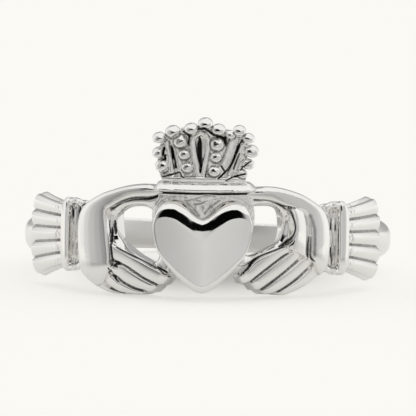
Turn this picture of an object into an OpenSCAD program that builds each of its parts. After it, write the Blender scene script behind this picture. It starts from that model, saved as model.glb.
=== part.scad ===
// Claddagh ring: two hands hold a crowned heart, cast in one piece with its band.
// The ring is drawn with the finger along Z and the heart towards -Y, in millimetres,
// and is turned at the end into the pose in which it lies on a table.

/* [Band] */
// Diameter of the finger hole, US size 7
bore_d = 17.3; // [15:0.1:21]
// Width of the band along the finger, at its sides
shank_w = 2.1; // [1.6:0.1:3]
// Width of the band along the finger, at the back
shank_back_w = 1.6; // [1.2:0.1:3]
// Thickness of the band at its sides
shank_t = 1.25; // [0.9:0.05:2]
// Thickness of the band at the back
shank_back_t = 1.1; // [0.8:0.05:2]
// Height of the band's straight side wall, under its rounded back
shank_side = 0.6; // [0.3:0.05:1]

/* [Hands] */
// Front view distance from the middle of the heart to the heel of a hand
hand_reach = 6.5; // [5.6:0.1:7.4]
// Rise of the thumb above the middle of the band
hand_up = 2.75; // [2.2:0.05:3.4]
// Drop of the fingers below the middle of the band
hand_down = 3.15; // [2.6:0.05:3.8]
// Height of the back of the hand above the finger hole
hand_h = 2.05; // [1.7:0.05:2.6]
// Height of the thumb above the finger hole
thumb_h = 1.65; // [1.4:0.05:2.2]
// Height of the fingers above the finger hole
finger_h = 1.75; // [1.5:0.05:2.3]
// Width of a finger
finger_w = 0.8; // [0.6:0.05:1]
// Height of the palm under the fingers
palm_h = 1.3; // [1:0.05:1.5]

/* [Windows] */
// Height of the window's frame where it meets the hand
frame_h = 1.3; // [1:0.05:1.6]
// Height of the window's frame at the opening
sill_h = 0.5; // [0.3:0.05:1]

/* [Heart] */
// Width of the heart
heart_w = 5.2; // [4.4:0.1:6]
// Rise of the heart's two lobes above the middle of the band
heart_up = 1.95; // [1.5:0.05:2.3]
// Drop of the heart's tip below the middle of the band
heart_down = 2.95; // [2.4:0.05:3.4]
// Height of the heart's face above the finger hole
heart_h = 2.5; // [2:0.05:3]
// Height of the heart's side wall above the finger hole
heart_edge_h = 1.6; // [1.2:0.05:1.9]

/* [Wrists] */
// Length of the wrist groove round the band
groove_l = 0.9; // [0.5:0.05:1.2]
// Length of the bar round the band
bar_l = 0.8; // [0.7:0.05:1.4]
// Width of groove and bar along the finger
bar_w = 4.1; // [3.4:0.1:5]
// Height of the bar above the finger hole
bar_h = 2.0; // [1.6:0.05:2.5]
// Height of the groove's floor above the finger hole
groove_h = 1.4; // [1:0.05:1.6]

/* [Cuffs] */
// Length of the cuff round the band
cuff_l = 3.2; // [2.4:0.1:3.8]
// Width of the cuff along the finger, at the bar
cuff_in_w = 3.4; // [2.8:0.1:4]
// Width of the cuff along the finger, at its widest
cuff_out_w = 4.6; // [3.8:0.1:5.4]
// Number of flutes on a cuff
flutes = 5; // [3:1:7]
// Height of the flutes above the finger hole
flute_h = 1.8; // [1.5:0.05:2.2]
// Height between the flutes above the finger hole
cuff_h = 1.5; // [1:0.05:1.6]

/* [Crown] */
// Width of the crown at its widest
crown_w = 5.56; // [4.6:0.05:6.4]
// Width of the bar that the crown stands on
base_w = 5.2; // [4.4:0.1:6]
// Height along the finger of the bar that the crown stands on
base_l = 0.6; // [0.4:0.05:0.8]
// Height along the finger from the top of that bar to the middle of the top bead
crown_l = 3.1; // [2.4:0.05:3.8]
// Height of that bar above the finger hole
base_h = 2.15; // [1.8:0.05:2.6]
// Height of the crown's sunk ground above the finger hole
ground_h = 1.15; // [0.9:0.05:1.4]
// Height of the crown's arches above the finger hole
arch_h = 1.65; // [1.4:0.05:2]
// Diameter of a crown bead
bead_d = 0.6; // [0.45:0.05:0.75]

/* [Hidden] */
// Step from the band's bore to the inside of the carved head
bore_step = 0.02;
bore_r = bore_d / 2;
// Radius of the face on which the front view is drawn
face_r = bore_r + heart_edge_h;
heart_half = heart_w / 2;
silver = [0.82, 0.82, 0.81];

// Angle round the finger of a place in the front view, at a height above the finger hole
function angle_at(x, h = heart_edge_h) = asin(x / (bore_r + h));
function turn(length) = length / face_r * 180 / PI;

heel_a = angle_at(hand_reach);
bar_a = heel_a + turn(groove_l);
cuff_a = bar_a + turn(bar_l);
// The base bar sits on the thumbs
base_low = hand_up - 0.42;
base_top = base_low + base_l;
crown_top = base_top + crown_l;

// Radius of the band's rounded back, which rises from its side walls
shank_rise = shank_t - shank_side;
shank_r = (pow(shank_w / 2, 2) + pow(shank_rise, 2)) / (2 * shank_rise);

// Rest pose: the fingers in front and the band's lower edge at the back touch the table
front_foot_y = sqrt(pow(bore_r, 2) - pow(0.5 * hand_reach, 2));
back_foot_y = bore_r + shank_back_t - shank_r + sqrt(pow(shank_r, 2) - pow(shank_back_w / 2, 2));
rest_tilt = atan((hand_down - shank_back_w / 2) / (front_foot_y + back_foot_y));
rest_lift = shank_back_w / 2 * cos(rest_tilt) + back_foot_y * sin(rest_tilt);
rest_shift = (heart_h - shank_back_t) / 2 * cos(rest_tilt);

function lerp(a, b, t) = a + (b - a) * t;
function last(v) = v[len(v) - 1];
function total(v, i = 0) = i >= len(v) ? 0 : v[i] + total(v, i + 1);

// A curve through the points of a list, with a number of steps between two of them
function bend(a, b, c, d, t) =
    0.5 * (2 * b + (c - a) * t + (2 * a - 5 * b + 4 * c - d) * t * t + (3 * b - a - 3 * c + d) * t * t * t);
function pick(v, i, closed) =
    closed ? v[(i + len(v)) % len(v)] : v[max(0, min(len(v) - 1, i))];
function smooth(v, steps, closed = false) = concat(
    [for (i = [0 : len(v) - (closed ? 1 : 2)], k = [0 : steps - 1])
        bend(pick(v, i - 1, closed), pick(v, i, closed), pick(v, i + 1, closed),
            pick(v, i + 2, closed), k / steps)],
    closed ? [] : [last(v)]);

// A point given as angle round the finger, place along it and height above the hole
function on_ring(p) =
    [(bore_r + p[2]) * sin(p[0]), -(bore_r + p[2]) * cos(p[0]), p[1]];

// Faces are turned outwards whichever way a list of sections runs
function volume(points, faces) =
    total([for (f = faces) points[f[0]] * cross(points[f[1]], points[f[2]])]);
function outward(points, faces) =
    volume(points, faces) < 0 ? faces : [for (f = faces) [f[2], f[1], f[0]]];

// Skin through closed sections of equal length, capped or joined end to end
module loft(sections, closed = false) {
    n = len(sections);
    m = len(sections[0]);
    points = [for (s = sections, p = s) on_ring(p)];
    sides = [for (i = [0 : n - (closed ? 1 : 2)], j = [0 : m - 1], half = [0, 1])
        let (a = i * m + j, b = i * m + (j + 1) % m,
            c = (i + 1) % n * m + (j + 1) % m, d = (i + 1) % n * m + j)
        half == 0 ? [a, b, c] : [a, c, d]];
    caps = closed ? [] : concat(
        [for (j = [1 : m - 2]) [0, j + 1, j]],
        [for (j = [1 : m - 2]) [(n - 1) * m, (n - 1) * m + j, (n - 1) * m + j + 1]]);
    faces = concat(sides, caps);
    polyhedron(points, outward(points, faces), convexity = 8);
}

// Skin through closed outlines, from the lowest to the highest, closed at a middle point
module dome(outlines, foot, peak) {
    n = len(outlines);
    m = len(outlines[0]);
    points = concat([for (s = outlines, p = s) on_ring(p)], [on_ring(foot), on_ring(peak)]);
    sides = [for (i = [0 : n - 2], j = [0 : m - 1], half = [0, 1])
        let (a = i * m + j, b = i * m + (j + 1) % m, c = (i + 1) * m + (j + 1) % m, d = (i + 1) * m + j)
        half == 0 ? [a, b, c] : [a, c, d]];
    ends = [for (j = [0 : m - 1], high = [0, 1])
        high == 0 ? [n * m, (j + 1) % m, j] : [n * m + 1, (n - 1) * m + j, (n - 1) * m + (j + 1) % m]];
    faces = concat(sides, ends);
    polyhedron(points, outward(points, faces), convexity = 8);
}

// Cross-section from a left to a right edge: [angle, place] each, with edge and middle heights
function rounded(left, right, edge_l, middle, edge_r, deep, stops) = concat(
    [[left[0], left[1], -deep]],
    [for (t = stops) [lerp(left[0], right[0], t), lerp(left[1], right[1], t),
        lerp(edge_l, edge_r, t) + (middle - (edge_l + edge_r) / 2) * pow(4 * t * (1 - t), 0.6)]],
    [[right[0], right[1], -deep]]);
wide_stops = [0, 0.06, 0.16, 0.3, 0.45, 0.6, 0.75, 0.88, 0.96, 1];
slim_stops = [0, 0.12, 0.32, 0.68, 0.88, 1];

// A raised bar along a curve: rows of [angle, place, width, height]
function normal_at(v, i) =
    let (a = v[max(0, i - 1)], b = v[min(len(v) - 1, i + 1)],
        d = [(b[0] - a[0]) * face_r * PI / 180, b[1] - a[1]], l = norm(d))
    [-d[1] / l, d[0] / l];
module bar_along(rows, round, deep, stops = slim_stops) {
    loft([for (i = [0 : len(rows) - 1])
        let (r = rows[i], n = normal_at(rows, i) * r[2] / 2, a = turn(n[0]))
        rounded([r[0] + a, r[1] + n[1]], [r[0] - a, r[1] - n[1]],
            r[3] - round, r[3], r[3] - round, deep, stops)]);
}

// Front view places on a hand, as shares of the room between heart and heel and of its height
function hand_a(share, h = heart_edge_h) = angle_at(lerp(heart_half, hand_reach, share), h);
function hand_z(share) = share > 0 ? share * hand_up : share * hand_down;

// Back of the hand and thumb, from the little finger up and over to the thumb's tip:
// outer edge along and up, inner edge along and up, height as a share from thumb to hand
back_rows = [
    [0.74, -0.84, 0.56, -0.72, -0.5],
    [0.87, -0.72, 0.60, -0.60, 0.3],
    [0.96, -0.57, 0.60, -0.47, 0.8],
    [1.00, -0.34, 0.60, -0.26, 1],
    [1.01, 0, 0.63, -0.03, 1],
    [1.00, 0.36, 0.66, 0.23, 0.95],
    [0.93, 0.58, 0.65, 0.45, 0.8],
    [0.75, 0.77, 0.58, 0.55, 0.6],
    [0.57, 0.90, 0.46, 0.63, 0.35],
    [0.38, 0.97, 0.32, 0.70, 0.15],
    [0.16, 1.00, 0.12, 0.73, 0],
    [0.00, 0.96, -0.04, 0.75, -0.25],
    [-0.10, 0.88, -0.14, 0.80, -0.6],
];
module hand_back() {
    rows = smooth(back_rows, 2);
    loft([for (r = rows)
        let (h = lerp(thumb_h, hand_h, r[4]), drop = 0.55 * lerp(0.8, 1, r[4]))
        rounded([hand_a(r[0]), hand_z(r[1])], [hand_a(r[2]), hand_z(r[3])],
            h - drop, h, h - drop, 0.3, wide_stops)]);
}

// Fingers, from the forefinger down: knuckle, middle and tip along and up, width and height
// as shares of finger_w and finger_h
finger_rows = [
    [0.57, -0.18, 0.19, -0.52, -0.18, -0.72, 1.00, 1.00],
    [0.60, -0.48, 0.30, -0.71, -0.05, -0.85, 0.88, 0.97],
    [0.70, -0.62, 0.43, -0.83, 0.15, -0.91, 0.78, 0.94],
    [0.82, -0.68, 0.63, -0.87, 0.38, -0.935, 0.60, 0.88],
];
module finger(r) {
    path = smooth([for (k = [0, 2, 4]) [hand_a(r[k]), hand_z(r[k + 1])]], 3);
    width = r[6] * finger_w;
    height = r[7] * finger_h;
    // Swell of the finger from its knuckle to its tip: width and height
    swell = [[0.55, -0.25], [0.9, -0.06], [1, 0], [0.98, -0.03], [0.95, -0.03], [0.75, -0.12], [0.35, -0.35]];
    bar_along([for (i = [0 : 6]) [path[i][0], path[i][1], width * swell[i][0], height + swell[i][1]]],
        0.35 * width, 0.36);
}

// Palm under the fingers: upper and lower edge along and up
palm_rows = [
    [0.72, 0.20, 0.90, -0.60],
    [0.57, -0.08, 0.76, -0.78],
    [0.40, -0.27, 0.56, -0.87],
    [0.22, -0.41, 0.34, -0.92],
    [0.04, -0.52, 0.12, -0.88],
    [-0.20, -0.62, -0.12, -0.76],
];
module palm() {
    loft([for (r = smooth(palm_rows, 2))
        rounded([hand_a(r[0]), hand_z(r[1])], [hand_a(r[2]), hand_z(r[3])],
            palm_h, palm_h + 0.02, palm_h - 0.1, 0.42, slim_stops)]);
}

// Frame of the window between hand and heart: outer line and opening, each along and up
frame_rows = [
    [-0.12, 0.78, -0.08, 0.50],
    [0.12, 0.78, 0.09, 0.56],
    [0.36, 0.74, 0.28, 0.56],
    [0.58, 0.62, 0.40, 0.45],
    [0.70, 0.40, 0.46, 0.30],
    [0.70, 0.10, 0.46, 0.12],
    [0.62, -0.14, 0.41, -0.05],
    [0.44, -0.34, 0.31, -0.19],
    [0.22, -0.50, 0.17, -0.31],
    [0.00, -0.62, 0.04, -0.40],
    [-0.20, -0.50, -0.08, -0.34],
    [-0.24, 0.10, -0.12, 0.10],
];
module window_frame() {
    loft([for (r = smooth(frame_rows, 2, true))
        let (out = [hand_a(r[0], frame_h), hand_z(r[1])], in = [hand_a(r[2], sill_h), hand_z(r[3])])
        [[out[0], out[1], -0.48], [out[0], out[1], frame_h],
            [lerp(out[0], in[0], 0.5), lerp(out[1], in[1], 0.5), lerp(frame_h, sill_h, 0.35)],
            [in[0], in[1], sill_h], [hand_a(r[2], -0.48), in[1], -0.48]]], true);
}

// Groove and bar at the wrist: rounded at both ends along the finger
module wrist() {
    half = bar_w / 2;
    ends = [[-1, 0.3], [-0.93, 0.72], [-0.8, 0.95], [-0.5, 1], [0, 1], [0.5, 1], [0.8, 0.95], [0.93, 0.72], [1, 0.3]];
    groove_m = heel_a + turn(groove_l) / 2;
    bar_m = bar_a + turn(bar_l) / 2;
    bar_along([for (e = ends) [groove_m, e[0] * half * 0.97, (groove_l + 0.5) * lerp(0.5, 1, e[1]),
        lerp(groove_h - 0.2, groove_h, e[1])]], 0.12, 0.54);
    bar_along([for (e = ends) [bar_m, e[0] * half, bar_l * e[1], lerp(bar_h - 0.45, bar_h, e[1])]],
        0.4, 0.6);
}

// Cuff: a fan with flutes, its outer edge bowed away from the hand
corner_share = 0.62;
function cuff_end(z_share) = cuff_a + turn(cuff_l) * (corner_share + (1 - corner_share) * (1 - z_share * z_share));
module cuff() {
    edges = [for (s = [-1 : 0.25 : 1]) s];
    loft([for (s = edges)
        let (start = [cuff_a - turn(0.3), s * cuff_in_w / 2], stop = [cuff_end(s), s * cuff_out_w / 2])
        rounded(start, stop, cuff_h, cuff_h, cuff_h - 0.2, 0.66, slim_stops)]);
    for (k = [0 : flutes - 1]) {
        s = (2 * (k + 0.5) / flutes - 1) * 0.98;
        inner_w = cuff_in_w / flutes * 0.95;
        outer_w = cuff_out_w / flutes * 0.86;
        bar_along([for (t = [0, 0.35, 0.75, 1])
            [lerp(cuff_a - turn(0.2), cuff_end(s) + turn(0.05), t), s * lerp(cuff_in_w, cuff_out_w, t) / 2,
                lerp(inner_w, outer_w, t), lerp(flute_h, flute_h - 0.1, t)]],
            0.32, 0.72 + 0.03 * k);
    }
}

// Right half of the heart's outline, from cleft to tip: shares of half width and of rise or drop
heart_rows = [
    [0, 0.48], [0.14, 0.68], [0.34, 0.92], [0.58, 1], [0.82, 0.88], [0.97, 0.56], [1, 0.14],
    [0.96, -0.16], [0.87, -0.36], [0.70, -0.56], [0.47, -0.76], [0.20, -0.94], [0, -1],
];
heart_mid_z = -0.1 * heart_down;
heart_half_line = smooth(heart_rows, 2);
heart_line = concat(heart_half_line,
    [for (i = [len(heart_half_line) - 2 : -1 : 1]) [-heart_half_line[i][0], heart_half_line[i][1]]]);
function heart_at(scale, h) = [for (p = heart_line)
    [angle_at(p[0] * heart_half * scale),
        lerp(heart_mid_z, p[1] > 0 ? p[1] * heart_up : p[1] * heart_down, scale), h]];
module heart() {
    rise = heart_h - heart_edge_h;
    // Scale and height of each outline up the heart
    dome([heart_at(1, -0.9), heart_at(1, heart_edge_h), heart_at(0.97, heart_edge_h + 0.3 * rise),
        heart_at(0.90, heart_edge_h + 0.6 * rise), heart_at(0.78, heart_edge_h + 0.82 * rise),
        heart_at(0.60, heart_h - 0.05 * rise), heart_at(0.3, heart_h)],
        [0, heart_mid_z, -0.9], [0, heart_mid_z, heart_h]);
}

// Ground between the heart's lobes, the thumbs and the crown
module shoulder() {
    half = angle_at(0.93 * heart_half);
    steps = 8;
    loft([for (i = [0 : steps]) let (a = lerp(-half, half, i / steps))
        rounded([a, 0.3 * heart_up], [a, base_low + 0.3], palm_h, palm_h + 0.02, palm_h, 0.78, slim_stops)]);
}

// Crown places as shares of its half width and of its height above the base bar
function crown_a(share) = angle_at(share * crown_w / 2);
function crown_z(share) = base_top + share * crown_l;

// Bar that the crown stands on: along, width and height as shares
base_rows = [[-1, 0.25, 0.72], [-0.9, 0.7, 0.88], [-0.75, 1, 1], [-0.4, 1.05, 1], [0, 1.05, 1],
    [0.4, 1.05, 1], [0.75, 1, 1], [0.9, 0.7, 0.88], [1, 0.25, 0.72]];
module crown_base() {
    bar_along([for (r = base_rows)
        [angle_at(r[0] * base_w / 2), base_low + base_l / 2 - 0.1 * (1 - r[1]), base_l * r[1], base_h * r[2]]],
        0.3, 0.84);
    bar_along([for (s = [-0.79 : 0.1975 : 0.79]) [crown_a(s), crown_z(0.04), 0.3, arch_h + 0.05]],
        0.15, 0.9);
}

// Sunk ground of the crown: half width and place up, as shares
ground_rows = [[0.80, -0.12], [0.78, 0.1], [0.82, 0.3], [0.88, 0.5], [0.87, 0.68], [0.70, 0.82], [0.32, 0.90], [0.1, 0.94]];
module crown_ground() {
    loft([for (r = ground_rows)
        rounded([crown_a(-r[0]), crown_z(r[1])], [crown_a(r[0]), crown_z(r[1])],
            ground_h - 0.1, ground_h + 0.02, ground_h - 0.1, 0.96, wide_stops)]);
}

// Arches of the crown: foot, waist and top along and up, width in millimetres
arch_rows = [
    [-0.80, 0.10, -0.89, 0.49, -0.80, 0.74, 0.36],
    [-0.62, 0.08, -0.69, 0.40, -0.72, 0.68, 0.30],
    [-0.34, 0.06, -0.42, 0.44, -0.49, 0.74, 0.52],
    [-0.23, 0.04, -0.26, 0.45, -0.20, 0.80, 0.36],
    [0.08, 0.04, 0.10, 0.45, 0.12, 0.80, 0.36],
    [0.20, 0.06, 0.24, 0.42, 0.24, 0.72, 0.52],
    [0.34, 0.06, 0.50, 0.38, 0.60, 0.78, 0.38],
    [0.53, 0.06, 0.68, 0.36, 0.76, 0.66, 0.28],
    [0.74, 0.08, 0.87, 0.42, 0.80, 0.74, 0.34],
];
module crown_arches() {
    for (i = [0 : len(arch_rows) - 1]) {
        r = arch_rows[i];
        path = smooth([for (k = [0, 2, 4]) [crown_a(r[k]), crown_z(r[k + 1])]], 2);
        bar_along([for (p = path) [p[0], p[1], r[6], arch_h - 0.02 * i]], 0.2, 1.02 + 0.03 * i);
    }
    top = smooth([[-0.84, 0.70], [-0.62, 0.80], [-0.24, 0.84], [0, 0.88], [0.24, 0.84], [0.62, 0.80], [0.84, 0.70]], 2);
    bar_along([for (p = top) [crown_a(p[0]), crown_z(p[1]), 0.42, arch_h - 0.12]], 0.15, 1.35);
}

// Beads: along and up as shares, size as a share of bead_d
bead_rows = [
    [-0.81, 0.27, 1], [-0.90, 0.525, 1.05], [-0.85, 0.73, 1], [-0.625, 0.865, 1.05], [-0.23, 0.915, 1],
    [0, 1, 1], [0.245, 0.90, 1], [0.47, 0.83, 0.8], [0.66, 0.865, 1], [0.85, 0.755, 0.95],
    [0.90, 0.525, 1.1], [0.83, 0.305, 1], [0.72, 0.12, 0.9],
    [-0.47, 0.70, 1.2], [-0.40, 0.475, 1], [-0.34, 0.235, 0.95],
    [0.23, 0.63, 1.2], [0.21, 0.39, 1], [0.17, 0.16, 0.95],
];
module crown_beads() {
    for (b = bead_rows) {
        a = crown_a(b[0]);
        reach = bore_r + arch_h - 0.02;
        translate([reach * sin(a), -reach * cos(a), crown_z(b[1])]) sphere(d = bead_d * b[2], $fn = 10);
    }
}

// Band: round-backed, thinner and narrower towards the back, with the true bore.
// It runs under the wrists as far as the windows' frames.
module shank() {
    far = bore_r + shank_t + 1;
    side = shank_w / 2 + 0.02;
    end_a = hand_a(0.8);
    difference() {
        intersection() {
            translate([0, -(shank_t - shank_back_t), 0]) rotate_extrude($fn = 96) intersection() {
                translate([bore_r + shank_t - shank_r, 0]) circle(r = shank_r, $fn = 64);
                translate([bore_r - 1, -shank_w / 2]) square([shank_t + 2, shank_w]);
            }
            rotate([90, 0, 90]) translate([0, 0, -far]) linear_extrude(2 * far)
                polygon([[0, -side], [bore_r, -shank_back_w / 2], [far, -shank_back_w / 2],
                    [far, shank_back_w / 2], [bore_r, shank_back_w / 2],
                    [0, side], [-far, side], [-far, -side]]);
        }
        cylinder(r = bore_r, h = 2 * shank_w, center = true, $fn = 180);
        translate([0, 0, -shank_w]) linear_extrude(2 * shank_w)
            polygon([[0, 0], [-2 * far * tan(end_a), -2 * far], [2 * far * tan(end_a), -2 * far]]);
    }
}

module both_sides() {
    children();
    mirror([1, 0, 0]) children();
}

// Everything carved, from cuff to cuff, bored a hair wider so that the band's bore is the tight one.
// resize() keeps the size here: it makes the many overlapping forms one mesh before they meet the band.
module carved_head() {
    resize([0, 0, 0]) difference() {
        union() {
            both_sides() {
                hand_back();
                palm();
                for (r = finger_rows) finger(r);
                window_frame();
                wrist();
                cuff();
            }
            heart();
            shoulder();
            crown_base();
            crown_ground();
            crown_arches();
            crown_beads();
        }
        translate([0, 0, -hand_down - 2])
            cylinder(r = bore_r + bore_step, h = hand_down + crown_top + 4, $fn = 120);
    }
}

module ring() {
    color(silver)
        translate([0, rest_shift, rest_lift]) rotate([-rest_tilt, 0, 0]) {
            shank();
            carved_head();
        }
}

ring();
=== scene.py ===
"""Claddagh ring in polished silver, lying on a pale table: two hands hold a crowned heart.

The carved head is laid out flat as the front view shows it, in millimetres: s runs round the
finger, z along it and h is the height above the finger hole. It is carved there, wrapped round
the hole and turned into the pose in which the ring lies on the table.
"""
import math
from collections import namedtuple
from types import SimpleNamespace

import bmesh
import bpy
import numpy as np
from mathutils import Matrix, Vector, noise


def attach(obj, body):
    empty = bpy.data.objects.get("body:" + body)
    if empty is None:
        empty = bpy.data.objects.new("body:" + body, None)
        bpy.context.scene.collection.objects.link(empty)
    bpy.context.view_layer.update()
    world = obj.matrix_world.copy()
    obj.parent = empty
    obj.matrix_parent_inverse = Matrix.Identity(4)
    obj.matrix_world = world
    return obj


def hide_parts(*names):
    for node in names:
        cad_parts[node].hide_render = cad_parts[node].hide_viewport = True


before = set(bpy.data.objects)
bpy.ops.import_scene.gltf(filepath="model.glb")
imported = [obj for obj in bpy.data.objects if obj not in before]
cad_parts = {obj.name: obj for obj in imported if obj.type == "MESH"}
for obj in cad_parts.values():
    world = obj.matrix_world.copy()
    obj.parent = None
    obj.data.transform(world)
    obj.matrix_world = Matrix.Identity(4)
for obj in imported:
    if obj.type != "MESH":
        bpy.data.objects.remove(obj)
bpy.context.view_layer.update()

# Sizes in millimetres, as in the part's source
BORE_R, BORE_STEP = 17.3 / 2, 0.02
SHANK_W, SHANK_BACK_W = 2.1, 1.6
SHANK_T, SHANK_BACK_T, SHANK_SIDE = 1.25, 1.1, 0.6
HAND_REACH, HAND_UP, HAND_DOWN = 6.5, 2.75, 3.15
HAND_H, THUMB_H, FINGER_H, PALM_H, FRAME_H = 2.05, 1.65, 1.75, 1.15, 1.4
HEART_W, HEART_UP, HEART_DOWN, HEART_H, HEART_EDGE_H = 5.2, 1.95, 2.95, 2.5, 1.6
GROOVE_L, BAR_L, BAR_W, BAR_H, GROOVE_H = 0.9, 0.8, 4.1, 2.0, 1.4
CUFF_L, CUFF_IN_W, CUFF_OUT_W, FLUTES, FLUTE_H, CUFF_H = 3.2, 3.4, 4.6, 5, 1.8, 1.5
CROWN_W, CROWN_L, BASE_W, BASE_L, BASE_DROP = 5.56, 3.1, 5.2, 0.6, 0.42
BASE_H, GROUND_H, ARCH_H, BEAD_D = 2.15, 1.15, 1.65, 0.6
# Share of a hand's reach at which its lowest finger touches the table
FOOT_AT = 0.5

FACE_R = BORE_R + HEART_EDGE_H
HEART_HALF = HEART_W / 2
BASE_LOW = HAND_UP - BASE_DROP
BASE_TOP = BASE_LOW + BASE_L
MM = 0.001

# Rest pose, worked out as in the part's source
SHANK_RISE = SHANK_T - SHANK_SIDE
SHANK_R = ((SHANK_W / 2) ** 2 + SHANK_RISE ** 2) / (2 * SHANK_RISE)
FRONT_FOOT = math.sqrt(BORE_R ** 2 - (FOOT_AT * HAND_REACH) ** 2)
BACK_FOOT = BORE_R + SHANK_BACK_T - SHANK_R + math.sqrt(SHANK_R ** 2 - (SHANK_BACK_W / 2) ** 2)
REST_TILT = math.atan((HAND_DOWN - SHANK_BACK_W / 2) / (FRONT_FOOT + BACK_FOOT))
REST_LIFT = SHANK_BACK_W / 2 * math.cos(REST_TILT) + BACK_FOOT * math.sin(REST_TILT)
REST_SHIFT = (HEART_H - SHANK_BACK_T) / 2 * math.cos(REST_TILT)
IN_REST = Matrix.Translation((0, REST_SHIFT, REST_LIFT)) @ Matrix.Rotation(-REST_TILT, 4, "X")

# How far the flat forms reach below the finger hole's wall before they are trimmed there
DEEP = 0.12
# Size of the cells in which a piece's forms are fused, and how strongly its edges are rounded
VOXEL, FINE_VOXEL, SOFTEN = 0.037, 0.0365, 0.5
# A bit of a piece with fewer points than this is loose and is dropped
CRUMB = 200
# Points on the floor that are closer than MEET become one, and HAIR is as good as nothing
MEET, HAIR = 0.012, 1e-5


# Curves and flat places
def lerp(a, b, t):
    return a + (b - a) * t


def smooth(rows, steps, closed=False):
    """Points of a Catmull-Rom curve through rows, with a number of steps between two of them."""
    v = np.array(rows, float)
    n = len(v)
    out = []
    for i in range(n if closed else n - 1):
        a, b, c, d = (v[k % n] if closed else v[min(max(k, 0), n - 1)] for k in (i - 1, i, i + 1, i + 2))
        for t in np.arange(steps) / steps:
            out.append(0.5 * (2 * b + (c - a) * t + (2 * a - 5 * b + 4 * c - d) * t ** 2
                              + (3 * b - a - 3 * c + d) * t ** 3))
    if not closed:
        out.append(v[-1])
    return np.array(out)


def s_at(x, h=HEART_EDGE_H):
    """Flat place of a point seen at x in the front view, at a height above the hole."""
    return FACE_R * np.arcsin(np.asarray(x, float) / (BORE_R + h))


def split(share, up, down):
    """A share of the rise above the middle of the band, or of the drop below it."""
    share = np.asarray(share, float)
    return np.where(share > 0, share * up, share * down)


def on_hand(x, z, h=HEART_EDGE_H):
    """Flat place on a hand: shares of the room from heart to heel, and of the hand's rise or drop."""
    return s_at(lerp(HEART_HALF, HAND_REACH, np.asarray(x, float)), h), split(z, HAND_UP, HAND_DOWN)


def on_heart(x, z, h=HEART_EDGE_H):
    return s_at(np.asarray(x, float) * HEART_HALF, h), split(z, HEART_UP, HEART_DOWN)


def on_crown(x, z):
    return s_at(np.asarray(x, float) * CROWN_W / 2, ARCH_H), BASE_TOP + np.asarray(z, float) * CROWN_L


def route(place, points, steps=6):
    """A smooth flat line through points given as shares."""
    v = smooth(points, steps)
    return np.column_stack(place(v[:, 0], v[:, 1]))


HEEL = float(on_hand(1, 0)[0])
CUFF = HEEL + GROOVE_L + BAR_L

# A mark along a line: half width and depth in millimetres, dark and roughness from 0 to 1, and
# flat, which is 2 for a groove and more for a patch with a flat floor. dark is painted shade, laid in
# the line as if shade fell there. The marks without a half width are for lines that carry their own
Mark = namedtuple("Mark", "half depth dark rough flat", defaults=(0.0, 0.0, 0.0, 0.0, 2))
# Marks with a dark share paint shade along their lines
CREASE, PIT, SLOT = Mark(depth=0.10, dark=1.0), Mark(depth=0.12, dark=1.0), Mark(depth=0.28, dark=1.0)
RIM_LINE = Mark(0.035, 0.08, 0.9)
OPENING_LINE = Mark(0.03, dark=0.8)
FINGER_LINE = Mark(0.034, 0.05, 0.9)
LEAF_SHADE = Mark(0.12, dark=0.55)
FLUTE_LINE = Mark(0.065, 0.03, 0.62, 0.2)
BASE_LINE = Mark(0.06, 0.14, 1.0)
BEAD_LINE = Mark(0.028, 0.08, 0.7)
LEDGE_LINE = Mark(0.03, 0.03, 0.35)
CRACK_LINE = Mark(0.03, 0.08, 0.6)
GROOVE_GROUND = Mark(0.30, dark=0.1, rough=0.8, flat=6)
CUFF_GROUND = Mark(0.26, dark=0.1, rough=0.7, flat=4)
CROWN_GROUND = Mark(1.3, rough=0.3, flat=6)
LEDGE_GROUND = Mark(0.26, rough=0.35, flat=4)
CLEFT_GROUND = Mark(0.4, rough=0.7, flat=4)


# Solids in the flat frame
def line_at(s, z):
    """A flat line through places along and up. Either may be one place for all."""
    return np.column_stack(np.broadcast_arrays(s, z))


def face_out(mesh):
    """Turns a mesh's faces outward."""
    bm = bmesh.new()
    bm.from_mesh(mesh)
    bmesh.ops.recalc_face_normals(bm, faces=bm.faces)
    bm.to_mesh(mesh)
    bm.free()


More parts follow.
